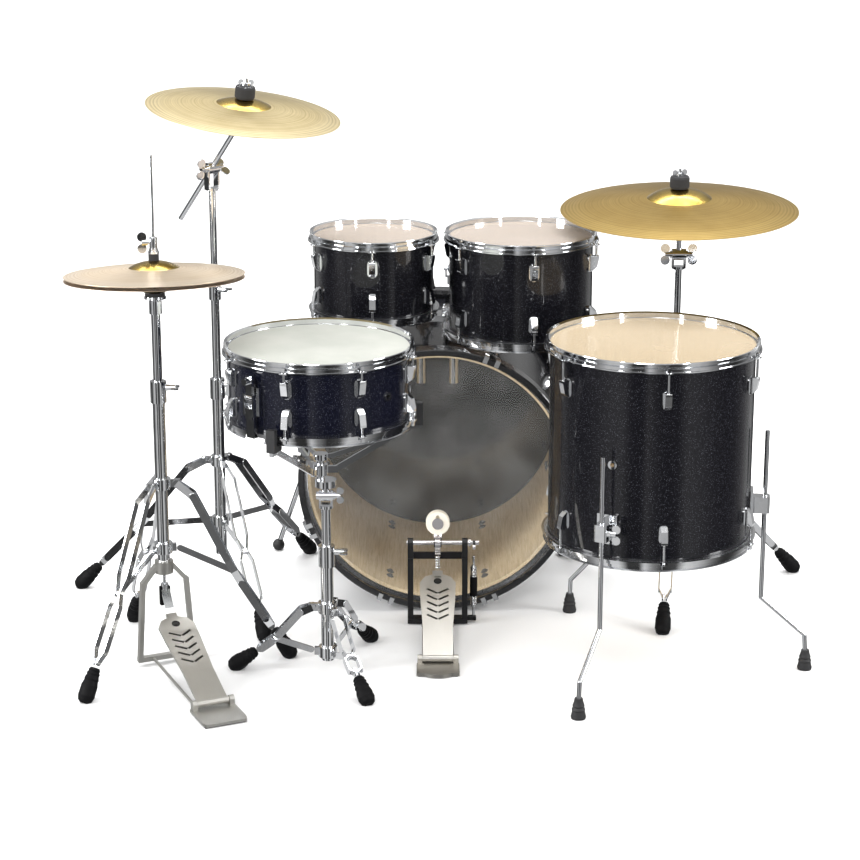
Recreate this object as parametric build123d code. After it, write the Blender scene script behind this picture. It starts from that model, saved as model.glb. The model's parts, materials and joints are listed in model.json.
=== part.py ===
from build123d import *
from math import atan2, cos, degrees, radians, sin, sqrt
import os

# Five-piece acoustic drum kit with hi-hat, crash and ride cymbals, set up for a right-handed player.
# Millimetres, +Z up, +X to the player's right, +Y away from the player. Everything is laid out in a
# set-up frame whose origin is on the floor under the bass drum's batter hoop, and the finished kit is
# moved so that its origin is at the bottom centre of its box. Each sub-part is one STEP file.

# ---------------------------------------------------------------- driving dimensions
INCH = 25.4
BASS_RADIUS, BASS_DEPTH = 11 * INCH, 16 * INCH
FLOOR_RADIUS, FLOOR_DEPTH = 8 * INCH, 15.5 * INCH
LARGE_RADIUS, LARGE_DEPTH = 6 * INCH, 8 * INCH
SMALL_RADIUS, SMALL_DEPTH = 5 * INCH, 6.25 * INCH
SNARE_RADIUS, SNARE_DEPTH = 7 * INCH, 5.5 * INCH
SHELL_WALL = 7.0
FILM = 0.4                          # thickness of a drum head's film

RIM_HEIGHT = 12.5                   # top of a metal hoop above the bearing edge
EAR_RADIUS = 15.5                   # a tension rod's distance outside the shell
EAR_TOP = -4.6                      # height of a hoop ear's top from the bearing edge
ROD_R = 2.6
LUG_TOP = 17.0                      # height of a lug's rod end above its centre

WOOD_HOOP_R = BASS_RADIUS + 19
WOOD_HOOP_FRONT = 22.0              # how far a wooden hoop stands past the bearing edge
CLAW_ROD_R = WOOD_HOOP_R + 10       # distance of a claw's rod from the bass drum's axis
BASS_TILT = 4.2                     # degrees; the front end is raised by the spurs
HOOP_LIFT = 3.3                     # the batter hoop stands on the pedal's clamp plate
BASS_LUG_Z = 66.0                   # lug centre from the bearing edge

BASS_CENTRE = Vector(0, -21.9, WOOD_HOOP_R * cos(radians(BASS_TILT)) + HOOP_LIFT)
SMALL_TOM_AT = Vector(-136, 95, 813)    # x, y and the batter side's bearing edge height
LARGE_TOM_AT = Vector(177, 95, 812.5)
SNARE_AT = Vector(-234, -345, 684)
FLOOR_TOM_AT = Vector(425, -297, 679.5)
SMALL_PHASE, LARGE_PHASE, FLOOR_PHASE, SNARE_PHASE = 30.0, 38.0, 33.0, -17.6

TOM_POST_X, TOM_MOUNT_Y, MOUNT_PLATE_Z = 36.0, 232.0, 603.0
POST_R = 11.0
SMALL_BALL = Vector(-TOM_POST_X, TOM_MOUNT_Y, SMALL_TOM_AT.Z - SMALL_DEPTH / 2)
LARGE_BALL = Vector(TOM_POST_X, TOM_MOUNT_Y, LARGE_TOM_AT.Z - LARGE_DEPTH / 2)
BALL_R = 14.5

BASE_TUBE_R, MID_TUBE_R, TOP_TUBE_R = 12.7, 9.5, 7.6
BASE_BORE, MID_BORE = MID_TUBE_R + 0.3, TOP_TUBE_R + 0.3
STRIP_T, STRIP_W = 2.4, 15.0        # the bars of a double-braced leg

HIHAT_POLE = Vector(-558, -293, 0)
HIHAT_LEGS = (-123.0, 6.0, 112.0)
HIHAT_PEDAL_ANGLE = -65.6           # heading of the hi-hat pedal from its pole
HIHAT_HINGE = (283.0, 20.0)         # footboard hinge: distance from the pole and height
HIHAT_TOE = (34.0, 116.0)
HIHAT_CYMBAL = (178.0, 50.0, 14.0, 13.0)    # radius, bell radius, bell height, bow height
HIHAT_EDGE_Z = 808.0                # upper face of the bottom cymbal's edge
HIHAT_GAP = 8.0
HIHAT_ROD_TOP = 1053.0
HIHAT_UP = Vector(-0.014, 0.085, 1).normalized()   # both cymbals lean a little away from the player

CRASH_POLE = Vector(-478, 122, 0)
CRASH_LEGS = (175.0, 55.0, -69.0)
CRASH_PIVOT = Vector(-478, 122, 953)
CRASH_AT = Vector(-403, 47, 1083)   # centre of the cymbal's edge circle
CRASH_UP = Vector(0.125, -0.080, 1).normalized()
CRASH_CYMBAL = (203.0, 57.0, 12.0, 15.0)

RIDE_POLE = Vector(520, 166, 0)
RIDE_LEGS = (-98.0, 17.0, 138.0)
RIDE_PIVOT = Vector(520, 166, 757)
RIDE_AT = Vector(516, 150, 857)
RIDE_UP = Vector(-0.012, -0.052, 1).normalized()
RIDE_CYMBAL = (254.0, 69.0, 21.0, 25.0)

CYMBAL_T, CYMBAL_HOLE = 1.4, 6.5
FELT_GAP = 0.8                      # play between a bell and the felt above it

SNARE_POLE = Vector(-224, SNARE_AT.Y, 0)      # the basket stands a little to the side of its tube
SNARE_LEGS = (176.0, 64.0, -64.0)
SNARE_ARMS = (-115.1, 4.9, 124.9)
SNARE_TILT_Z = 377.0
STRAINER_ANGLE = -131.0

FLOOR_LEGS = (-118.0, -6.0, 115.0)
FLOOR_LEG_R, FLOOR_FOOT_R = 232.0, 326.0    # a leg rod's and its foot's distance from the drum's axis
FLOOR_BRACKET_Z = 352.0
LEG_ROD_R = 4.75

SPUR_PIVOT = Vector(-293, 352, 268)
SPUR_FOOT = Vector(-370, 404, 13)

AXLE = Vector(0, -70, 182)          # bass pedal's axle
BEATER_BACK = 40.7                  # degrees that the beater leans towards the player at rest
BEATER_LENGTH = 84.4
BEATER_HEAD_TILT = -8.0             # the felt head's swivel, from level
PEDAL_HINGE = Vector(0, -318, 17)
PEDAL_TOE = Vector(0, -86, 122)
CAM_R = 30.0

SOLIDS = {}                         # node name: its separate solids


# ---------------------------------------------------------------- helpers
def node(name, *shapes):
    """Adds shapes to a node; every solid stays a separate piece."""
    for shape in shapes:
        SOLIDS.setdefault(name, []).extend(shape.solids())


def fuse(shapes):
    whole = shapes[0]
    for shape in shapes[1:]:
        whole = whole + shape
    return whole


def ring(points):
    """Solid of revolution about Z from a closed outline of (radius, height) points."""
    outline = Polyline(*[(r, 0, z) for r, z in points], close=True)
    return revolve(make_face(outline), Axis.Z)


def disc(radius, low, high, hole=0.0):
    """Cylinder or washer about Z between two heights."""
    if hole:
        return ring([(hole, low), (radius, low), (radius, high), (hole, high)])
    return Pos(0, 0, low) * Cylinder(radius, high - low, align=(Align.CENTER, Align.CENTER, Align.MIN))


def block(low, high):
    """Box between two opposite corners."""
    low, high = Vector(*low), Vector(*high)
    size = high - low
    return Pos(*((low + high) * 0.5)) * Box(size.X, size.Y, size.Z)


def between(start, end, radius, hole=0.0):
    """Round bar or tube from one point to another."""
    start, end = Vector(*start), Vector(*end)
    axis = end - start
    return Plane(origin=start, z_dir=axis) * disc(radius, 0, axis.length, hole)


def bent_rod(points, radius):
    """Round bar through several points with ball corners."""
    pieces = [between(a, b, radius) for a, b in zip(points, points[1:])]
    corners = [Pos(*Vector(*p)) * Sphere(radius) for p in points[1:-1]]
    return fuse(pieces + corners)


def bar(start, end, width, thickness, side):
    """Flat bar from start to end; side is the direction of its thickness."""
    start, end, side = Vector(*start), Vector(*end), Vector(*side)
    axis = end - start
    normal = side - axis * (side.dot(axis) / axis.dot(axis))
    return Plane(origin=(start + end) * 0.5, x_dir=axis, z_dir=normal) * Box(axis.length, width, thickness)


def around(count, phase=0.0):
    return [phase + 360.0 * i / count for i in range(count)]


def out(angle):
    """Unit vector in plan at an angle in degrees from +X."""
    return Vector(cos(radians(angle)), sin(radians(angle)), 0)


def wing_nut(span):
    """Wing bolt along +Z from z 0: a boss with two flat rounded ears across X."""
    ears = [Pos(s * span * 0.28, 0, 11) * Rot(90, 0, 0) * Cylinder(span * 0.22, 3.2) for s in (-1, 1)]
    return fuse([disc(5.5, 0, 11)] + ears)


# ---------------------------------------------------------------- drums with metal hoops
def shell(radius, depth):
    """Wooden tube with a bevelled bearing edge at each end, centred on the origin."""
    half, inner, crown = depth / 2, radius - SHELL_WALL, radius - 1.5
    slope = SHELL_WALL - 1.5
    return ring([(inner, slope - half), (crown, -half), (radius, 1.5 - half),
                 (radius, half - 1.5), (crown, half), (inner, half - slope)])


def head(radius, edge):
    """Film over the bearing edge at height edge, in one piece with its flesh hoop."""
    top = edge + FILM
    return ring([(0, edge), (0, top), (radius + 7.5, top), (radius + 7.5, edge - 7),
                 (radius + 0.8, edge - 7), (radius + 0.8, edge)])


def metal_hoop(radius, edge, count, phase):
    """Triple-flanged hoop with a drilled ear for each tension rod."""
    r, z = radius, edge
    hoop = ring([(r + 8, z - 7), (r + 12.5, z - 7), (r + 12.5, z - 5), (r + 10, z - 5), (r + 10, z + 1.8),
                 (r + 5.4, z + 3.8), (r + 5.4, z + 9), (r + 9, z + 11), (r + 8.4, z + RIM_HEIGHT),
                 (r + 3.4, z + 10.2), (r + 3.2, z + FILM), (r + 8, z + FILM)])
    ears = [Rot(0, 0, a) * Pos(r + 15.8, 0, z + EAR_TOP - 1.2) * Box(10.6, 15,
            2.4) for a in around(count, phase)]
    holes = [Rot(0, 0, a) * Pos(r + EAR_RADIUS, 0, z + EAR_TOP) * Cylinder(ROD_R + 0.3, 10)
             for a in around(count, phase)]
    return hoop + ears - holes


def lug_block(outline):
    """Lug standing out along +X: an oval escutcheon with a tapered tongue of the given side outline."""
    plate = Pos(1.6, 0, 0) * Rot(0, 90, 0) * extrude(SlotOverall(38, 21), 1.6, both=True)
    side = make_face(Polyline(*[(x, 0, z) for x, z in outline], close=True))
    tongue = extrude(side, 6.5, both=True)
    return plate + fillet(tongue.edges().filter_by(Axis.Y).sort_by(Axis.X)[-3:], 1.2)


LUG = lug_block([(3, -16), (7, -17), (16, -9), (20.5, 12), (20, LUG_TOP), (3, LUG_TOP)])
BASS_LUG = lug_block([(3, -LUG_TOP), (33, -LUG_TOP), (36, -13), (22, 10), (8, 17), (3, 17)])


def tension_rod(length):
    """Rod from z 0 up to its washer and square key head at z length."""
    return fuse([disc(ROD_R, 0, length), disc(4.6, length, length + 1.5),
                 Pos(0, 0, length + 5.5) * Box(6, 6, 8)])


def lug_set(radius, depth, drop, count, phase):
    """Lugs and rods at both ends of a drum centred on the origin; drop is from the edge to a lug's centre."""
    pieces = []
    lug_z = depth / 2 - drop
    rod = tension_rod(depth / 2 + EAR_TOP - lug_z - LUG_TOP)
    for flip, turn in ((Rot(0, 0, 0), phase), (Rot(180, 0, 0), -phase)):
        for angle in around(count, turn):
            spin = flip * Rot(0, 0, angle)
            pieces.append(spin * Pos(radius, 0, lug_z) * LUG)
            pieces.append(spin * Pos(radius + EAR_RADIUS, 0, lug_z + LUG_TOP) * rod)
    return pieces


def metal_drum(name, at, radius, depth, count, phase, drop, vent_angle, gates=()):
    """Shell, hoops, heads and lugs of one drum whose batter edge is at height at.Z."""
    place = Pos(at.X, at.Y, at.Z - depth / 2)
    vent = Rot(0, 0, vent_angle) * Pos(radius, 0, 0) * Rot(0, 90, 0)
    node(f"{name}_shell", place * (shell(radius, depth) - vent * Cylinder(5.5, 24)))
    flip = Rot(180, 0, 0)
    lower = flip * metal_hoop(radius, depth / 2, count, -phase)
    for angle in gates:
        lower = lower - Rot(0, 0, angle) * Pos(radius + 6, 0, -depth / 2 - 7.5) * Box(16, 52, 11.6)
    node(f"{name}_hoops", place * metal_hoop(radius, depth / 2, count, phase), place * lower)
    node(f"{name}_heads", place * head(radius, depth / 2), place * (flip * head(radius, depth / 2)))
    node(f"{name}_lugs", *[place * p for p in lug_set(radius, depth, drop, count, phase)])
    node(f"{name}_lugs", place * vent * (disc(9, 0.5, 2.2, 4.2) + disc(5.2, -6.5, 0.5, 4.2)))


# ---------------------------------------------------------------- bass drum
# Its own frame: z 0 at the batter side's bearing edge, +Z forwards, +X to the player's right, +Y down.
BASS_PLACE = Pos(*BASS_CENTRE) * Rot(BASS_TILT, 0, 0) * Rot(-90, 0, 0) * Pos(0, 0, WOOD_HOOP_FRONT)
BASS_FAR = Pos(0, 0, BASS_DEPTH) * Rot(180, 0, 0)


def wood_hoop():
    """Maple hoop round the flesh hoop of a head whose edge is at z 0, standing towards -Z."""
    outer, front = WOOD_HOOP_R, -WOOD_HOOP_FRONT
    return ring([(outer - 9, 12), (outer, 10), (outer, front + 2), (outer - 2, front), (outer - 12, front),
                 (outer - 14, front + 2), (outer - 14, -FILM), (outer - 9, -FILM)])


def claw():
    """Forked claw hooked over a wooden hoop's front edge, with its eye outside the hoop."""
    outer, front = WOOD_HOOP_R, -WOOD_HOOP_FRONT
    pieces = [Pos(outer + 7, 0, 17.5) * Box(15, 15, 4)]
    for s in (-1, 1):
        pieces.append(Pos(outer - 4, s * 13, front - 1.4) * Box(16, 10, 2.8))
        pieces.append(Pos(outer + 2.2, s * 13, front + 6) * Box(3.4, 10, 18))
        pieces.append(bar((outer + 2.6, s * 12.5, front + 11), (outer + 3.6, s * 3.5, 17), 9, 3.6,
                (1, 0, 0)))
    return fuse(pieces) - Pos(CLAW_ROD_R, 0, 17.5) * Cylinder(3.3, 12)


def claw_rod():
    """T-handled rod from just ahead of a claw's eye into its lug."""
    stem = Pos(CLAW_ROD_R, 0, 0) * disc(3.0, 11, BASS_LUG_Z - LUG_TOP)
    return stem + Pos(CLAW_ROD_R, 0, 12.2) * Rot(90, 0, 0) * Cylinder(3.2, 28)


TOM_MOUNT = Pos(0, TOM_MOUNT_Y, MOUNT_PLATE_Z)


def bass_drum():
    body = BASS_PLACE * Pos(0, 0, BASS_DEPTH / 2) * shell(BASS_RADIUS, BASS_DEPTH)
    for x in (-TOM_POST_X, TOM_POST_X):
        body = body - TOM_MOUNT * Pos(x, 0, -10) * Cylinder(15.6, 60)
    node("bass_shell", body)
    node("bass_hoops", BASS_PLACE * wood_hoop(), BASS_PLACE * BASS_FAR * wood_hoop())
    flat_head = Rot(180, 0, 0) * head(BASS_RADIUS, 0)
    node("bass_batter_head", BASS_PLACE * flat_head)
    node("bass_front_head", BASS_PLACE * BASS_FAR * flat_head)
    for end in (Pos(0, 0, 0), BASS_FAR):
        for angle in around(8, 22.5):
            spin = BASS_PLACE * end * Rot(0, 0, angle)
            node("bass_lugs", spin * Pos(BASS_RADIUS, 0, BASS_LUG_Z) * BASS_LUG)
            node("bass_claws", spin * claw(), spin * claw_rod())


def spur(side):
    """Folding spur with its rubber ball foot, and its bracket on the shell."""
    pivot = Vector(side * -SPUR_PIVOT.X, SPUR_PIVOT.Y, SPUR_PIVOT.Z)
    foot = Vector(side * -SPUR_FOOT.X, SPUR_FOOT.Y, SPUR_FOOT.Z)
    hub = Pos(*pivot) * Rot(0, 90, 0) * Cylinder(13, 12)
    along = (foot - pivot).normalized()
    elbow = pivot + Vector(0, along.Y, along.Z).normalized() * 27
    rod = bent_rod([pivot, elbow, foot - (foot - elbow).normalized() * 10], 6.0) + hub
    rod = rod - Pos(*pivot) * Rot(0, 90, 0) * Cylinder(4.1, 40)
    tip = Pos(*foot) * (Sphere(14) & block((-20, -20, -13), (20, 20, 20)))
    tip = tip - between(elbow, foot - (foot - elbow).normalized() * 9, 6.2)
    name = "spur_left" if side < 0 else "spur_right"
    node(name, rod, tip)
    reach = block((-14, -17, -20), (19, 17, 20)) if side < 0 else block((-19, -17, -20), (14, 17, 20))
    shell_core = BASS_PLACE * Pos(0, 0, BASS_DEPTH / 2) * Cylinder(BASS_RADIUS + 0.2, BASS_DEPTH + 80)
    inner = Pos(*pivot) * Pos(-side * 20.2, 0, 0) * reach
    bolt = Pos(*pivot) * Rot(0, side * 90, 0) * (disc(4.0, -7, 9) + disc(9, 6.3, 9) + Pos(0, 0,
            9) * wing_nut(30))
    node("bass_lugs", (inner - shell_core) + bolt)


# ---------------------------------------------------------------- tom mount on the bass drum
def tom_mount():
    """Cast plate saddled on the shell with two split sockets for the posts."""
    saddle = Pos(0, 0, -3) * extrude(RectangleRounded(112, 52, 18), 11, both=True)
    core = TOM_MOUNT.inverse() * BASS_PLACE * Pos(0, 0, BASS_DEPTH / 2) * Cylinder(BASS_RADIUS + 0.2,
            BASS_DEPTH)
    body = saddle - core
    for x in (-TOM_POST_X, TOM_POST_X):
        body = body + Pos(x, 0, 0) * disc(15, -22, 28)
        body = body + Pos(x, 0, 19) * Rot(0, 0, -125 if x > 0 else -55) * Pos(17, 0, 0) * Box(14, 13, 14)
        body = body + Pos(x, 0, 19) * Rot(0, 0, -125 if x > 0 else -55) * Pos(22, 0, 0) * Rot(0, 90,
                0) * wing_nut(32)
    for x in (-TOM_POST_X, TOM_POST_X):
        body = body - Pos(x, 0, 0) * Cylinder(POST_R + 0.25, 120)
    for sx in (-1, 1):
        for sy in (-1, 1):
            body = body + Pos(sx * 13, sy * 17, 9.5) * Cylinder(4.5, 4)
    node("tom_mount_base", TOM_MOUNT * body)


def tom_post(name, ball):
    """Chrome pipe through the mount into the shell, with a fork that holds the tom's ball."""
    x, y = ball.X, ball.Y
    pipe = between((x, y, MOUNT_PLATE_Z - 150), (x, y, ball.Z - 24), POST_R, POST_R - 2)
    lock = Pos(x, y, MOUNT_PLATE_Z) * disc(14.5, 28, 40, POST_R)
    fork = [disc(15, -34, -18), block((-19.2, -6.5, -18), (19.2, 6.5, -16))]
    for s in (-1, 1):
        fork.append(block((min(s * 15.2, s * 19.2), -6.5, -18), (max(s * 15.2, s * 19.2), 6.5, 0)))
        fork.append(Rot(0, s * 90, 0) * (disc(6.5, 15.2, 19.2) + disc(3.2, 0, 16) + disc(5.5, 19.2, 22.5)))
    body = fuse(fork) - disc(POST_R, -40, -24)
    node(name, fuse([pipe, lock]), Pos(*ball) * body)


def tom_arm(ball, at, radius, depth):
    """Ball, arm and shell bracket of a tom, all on the tom's side of the tilting ball."""
    centre = Vector(at.X, at.Y, ball.Z)
    heading = ball - centre
    angle = degrees(atan2(heading.Y, heading.X))
    face = Pos(*centre) * Rot(0, 0, angle) * Pos(radius + 0.4, 0, 0) * Rot(0, 90, 0)
    plate = face * extrude(RectangleRounded(44, 36, 8), 4.4)
    boss = face * Pos(0, 0, 4.4) * extrude(RectangleRounded(26, 20, 5), 7)
    arm = between(ball, centre + heading.normalized() * (radius + 6), 5.3)
    knob = Pos(*ball) * (Sphere(BALL_R) - Rot(0, 90, 0) * Cylinder(3.3, 40))
    reach = arm - Pos(*ball) * Rot(0, 90, 0) * Cylinder(3.3, 40)
    return fuse([knob, reach, boss, plate])


# ---------------------------------------------------------------- tripod stands
def leg_strip(points, side):
    """One bent strip of a double-braced leg: flat bars with round knuckles."""
    bars = [bar(a, b, STRIP_W, STRIP_T, side) for a, b in zip(points, points[1:])]
    knuckles = [Plane(origin=p, z_dir=side) * Cylinder(STRIP_W / 2, STRIP_T) for p in points]
    return fuse(bars + knuckles)


def collar(z, reach, angles, tube_r, half=11.0):
    """Ring round a tube with an ear towards each leg."""
    ears = [Rot(0, 0, a) * block((tube_r + 2, -4.5, z - 8), (reach, 4.5, z + 8)) for a in angles]
    return fuse([disc(tube_r + 6, z - half, z + half)] + ears) - disc(tube_r, z - half - 1, z + half + 1)


def rubber_boot(top, toe):
    """Ribbed boot from a leg's end down to the floor, with a flat sole."""
    along = (toe - top).normalized()
    length = (toe - top).length
    outline = [(0, 6), (9, 6), (12, 11), (11, 14), (13.5, 18), (12.5, 22), (15, 29), (14, 33), (16.5, 42),
               (17, length - 4), (14, length + 6), (8, length + 11), (0, length + 11)]
    boot = Plane(origin=top, z_dir=along, x_dir=(0, 1, 0)) * ring(outline)
    return boot & block((0, -60, 0), (500, 60, 300))


def tripod(name, pole, angles, upper_z, lower_z, foot_r, boot=74.0):
    """Three double-braced legs with their collars and braces round a base tube."""
    place = Pos(pole.X, pole.Y, 0)
    upper = Vector(30, 0, upper_z)
    knee = Vector(30 + 0.13 * foot_r, 0, upper_z * 0.93)
    joint = Vector(foot_r * 0.56, 0, upper_z * 0.50)
    foot = Vector(foot_r, 0, 9)
    along = (foot - joint).normalized()
    end = foot - along * boot
    node(name, place * collar(upper_z, 38, angles, BASE_TUBE_R),
            place * collar(lower_z, 27, angles, BASE_TUBE_R))
    stations = [(upper, 4.8), (knee, 12.0), (joint + (knee - joint) * 0.2, 12.0), (joint, 4.0),
                (joint + (end - joint) * 0.2, 12.0), (joint + (end - joint) * 0.84, 12.0), (end, 3.2)]
    for angle in angles:
        turn = place * Rot(0, 0, angle)
        for s in (-1, 1):
            points = [Vector(p.X, s * (g + STRIP_T / 2), p.Z) for p, g in stations]
            node(name, turn * leg_strip(points, (0, 1, 0)))
        start = Vector(27.5, 0, lower_z) + (joint - Vector(27.5, 0, lower_z)).normalized() * 7
        brace = bar(start, joint, 13, 3, (0, 1, 0)) + Pos(*joint) * Rot(90, 0, 0) * Cylinder(6, 7.8)
        node(name, turn * (brace + Pos(*start) * Rot(90, 0, 0) * Cylinder(6.4, 3)))
        node(name, turn * between(end - along * 10, end + along * 5.8, 2.9))
        node("rubber_feet", turn * rubber_boot(end + along * 6, foot))


def base_tube(name, pole, low, high, wing_angle):
    """Lower stand tube with its height clamp fused round the top."""
    turn = Rot(0, 0, wing_angle)
    sleeve = disc(16.5, high - 22, high + 22) + turn * Pos(15, 0, high + 8) * Rot(0, 90, 0) * disc(6.5,
            0, 9)
    bolt = turn * Pos(23.5, 0, high + 8) * Rot(0, 90, 0) * Rot(0, 0, 90) * wing_nut(36)
    tube = fuse([disc(BASE_TUBE_R, low, high), sleeve, bolt]) - disc(BASE_BORE, low - 1, high + 60)
    node(name, Pos(pole.X, pole.Y, 0) * tube)


def mid_tube(name, pole, low, high, wing_angle):
    """Sliding tube with the clamp for the thinner tube above it."""
    turn = Rot(0, 0, wing_angle)
    sleeve = disc(13.5, high - 18, high + 18) + turn * Pos(12, 0, high + 6) * Rot(0, 90, 0) * disc(6, 0, 8)
    bolt = turn * Pos(19.5, 0, high + 6) * Rot(0, 90, 0) * Rot(0, 0, 90) * wing_nut(34)
    tube = fuse([disc(MID_TUBE_R, low, high), sleeve, bolt]) - disc(MID_BORE, low - 1, high + 40)
    node(name, Pos(pole.X, pole.Y, 0) * tube)


# ---------------------------------------------------------------- cymbals
def cymbal(size):
    """Thin bowed disc with a bell, about Z, the underside of its edge at z 0."""
    radius, bell_r, bell_h, bow = size
    t, peak = CYMBAL_T, bow + bell_h
    middle = (radius + bell_r) / 2
    rim = Line((radius, 0, 0), (radius, 0, 0.8))
    outer_bow = ThreePointArc((radius, 0, 0.8), (middle, 0, bow * 0.60 + t), (bell_r, 0, bow + t))
    outer_bell = ThreePointArc((bell_r, 0, bow + t), (bell_r * 0.6, 0, bow + bell_h * 0.70 + t),
                               (CYMBAL_HOLE, 0, peak + t))
    hole = Line((CYMBAL_HOLE, 0, peak + t), (CYMBAL_HOLE, 0, peak))
    inner_bell = ThreePointArc((CYMBAL_HOLE, 0, peak), (bell_r * 0.6 - 0.6, 0, bow + bell_h * 0.70),
                               (bell_r - 1, 0, bow))
    inner_bow = ThreePointArc((bell_r - 1, 0, bow), (middle, 0, bow * 0.60), (radius, 0, 0))
    return revolve(make_face([rim, outer_bow, outer_bell, hole, inner_bell, inner_bow]), Axis.Z)


def cymbal_place(at, up):
    """Frame whose origin is the centre of a cymbal's edge and whose Z is its axis."""
    return Location(Plane(origin=at, z_dir=up, x_dir=(1, 0, -up.X / up.Z)))


def cymbal_mount(apex):
    """Rod, seat, felts and wing nut about Z for a cymbal whose bell is topped at z apex."""
    rod = fuse([disc(3.9, apex - 46, apex + 42), disc(14, apex - 19, apex - 15),
            disc(8, apex - 38, apex - 19)])
    lower_felt = disc(14, apex - 15, apex - CYMBAL_T - 3.2, 4.2)
    low = apex + FELT_GAP
    upper_felt = ring([(4.2, low), (19, low), (21, low + 4), (21, low + 22), (19, low + 26),
            (4.2, low + 26)])
    nut = disc(9, low + 26, low + 33)
    ears = [Rot(0, 0, a) * Pos(11, 0, low + 34) * Rot(90, 0, 0) * Cylinder(6, 2.6) for a in (20, 200)]
    cap = fuse([nut] + ears) - disc(4.2, low + 20, low + 60)
    return rod, lower_felt, upper_felt, cap


def tilter(name, pole, pivot, low, heading, drop):
    """Top tube of a boom stand with the fork of its tilter; the hinge lies across the heading."""
    tube = Pos(pole.X, pole.Y, 0) * disc(TOP_TUBE_R, low, pivot.Z - drop)
    base = fuse([disc(13, -drop - 6, -drop), block((-8, -15, -drop - 4), (8, 15, 0.5 - drop))])
    cheeks = [Rot(-s * 90, 0, 0) * disc(12.5, 10.4, 15) + block((-8, min(s * 10.4, s * 15), -drop - 4),
                                                               (8, max(s * 10.4, s * 15),
                                                                       0)) for s in (-1, 1)]
    fork = fuse([base] + cheeks) - Rot(90, 0, 0) * Cylinder(4.1, 60)
    node(name, tube + Pos(*pivot) * Rot(0, 0, heading) * fork)


def boom(name, pivot, heading, low_end, at, up, size, wing_turns):
    """Boom rod through its clamp, with the hinge bolt and wing nuts, up to the cymbal's mount."""
    apex = size[2] + size[3] + CYMBAL_T
    place = cymbal_place(at, up)
    top = at + up * (apex - 40)
    along = (top - pivot).normalized()
    hub = fuse([Rot(90, 0, 0) * Cylinder(12.5, 20), Rot(90, 0, 0) * Cylinder(4.0, 37)])
    nuts = [Rot(-s * 90, 0, 0) * Pos(0, 0, 15.4) * (disc(8, 0, 4) + Pos(0, 0, 3) * Rot(0, 0,
            a) * wing_nut(46))
            for s, a in zip((-1, 1), wing_turns)]
    rod = between(pivot - along * low_end, top, 5.5) + Pos(*top) * Sphere(9)
    arm = fuse([Pos(*pivot) * Rot(0, 0, heading) * fuse([hub] + nuts), rod])
    rod_piece, lower_felt, upper_felt, cap = cymbal_mount(apex)
    node(name, arm + place * rod_piece, place * lower_felt, place * upper_felt, place * cap)


# ---------------------------------------------------------------- stands
def crash_stand():
    tripod("crash_tripod", CRASH_POLE, CRASH_LEGS, 307, 168, 320)
    base_tube("crash_tripod", CRASH_POLE, 92, 470, 0)
    mid_tube("crash_mid_tube", CRASH_POLE, 340, 686, -30)
    heading = -45.0
    tilter("crash_tilter", CRASH_POLE, CRASH_PIVOT, 560, heading, 42)
    boom("crash_boom_arm", CRASH_PIVOT, heading, 165, CRASH_AT, CRASH_UP, CRASH_CYMBAL, (80, 40))
    node("crash_cymbal", cymbal_place(CRASH_AT, CRASH_UP) * cymbal(CRASH_CYMBAL))


def ride_stand():
    tripod("ride_tripod", RIDE_POLE, RIDE_LEGS, 307, 168, 306)
    base_tube("ride_tripod", RIDE_POLE, 92, 420, 180)
    mid_tube("ride_mid_tube", RIDE_POLE, 300, 590, -140)
    heading = -90.0
    tilter("ride_tilter", RIDE_POLE, RIDE_PIVOT, 480, heading, 26)
    boom("ride_boom_arm", RIDE_PIVOT, heading, 0, RIDE_AT, RIDE_UP, RIDE_CYMBAL, (90, 90))
    node("ride_cymbal", cymbal_place(RIDE_AT, RIDE_UP) * cymbal(RIDE_CYMBAL))


def footboard(length, stations, thickness):
    """Plate lying along +X from its hinge, its top at z 0; stations are (share of length, half width)."""
    edge = [(u * length, w) for u, w in stations]
    outline = edge + [(x, -w) for x, w in reversed(edge)]
    plate = extrude(make_face(Polyline(*outline, close=True)), -thickness)
    for i in range(5):
        x = length * (0.46 + 0.075 * i)
        for s in (-1, 1):
            plate = plate - Pos(x, s * 12, 0) * Rot(0, 0, s * -32) * Box(5, 25, 40)
    return plate


BOARD_STATIONS = ((0.0, 31.0), (0.35, 31.5), (0.70, 37.0), (0.86, 38.0), (0.93, 27.0), (0.955, 11.0),
        (1.0, 11.0))


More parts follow.
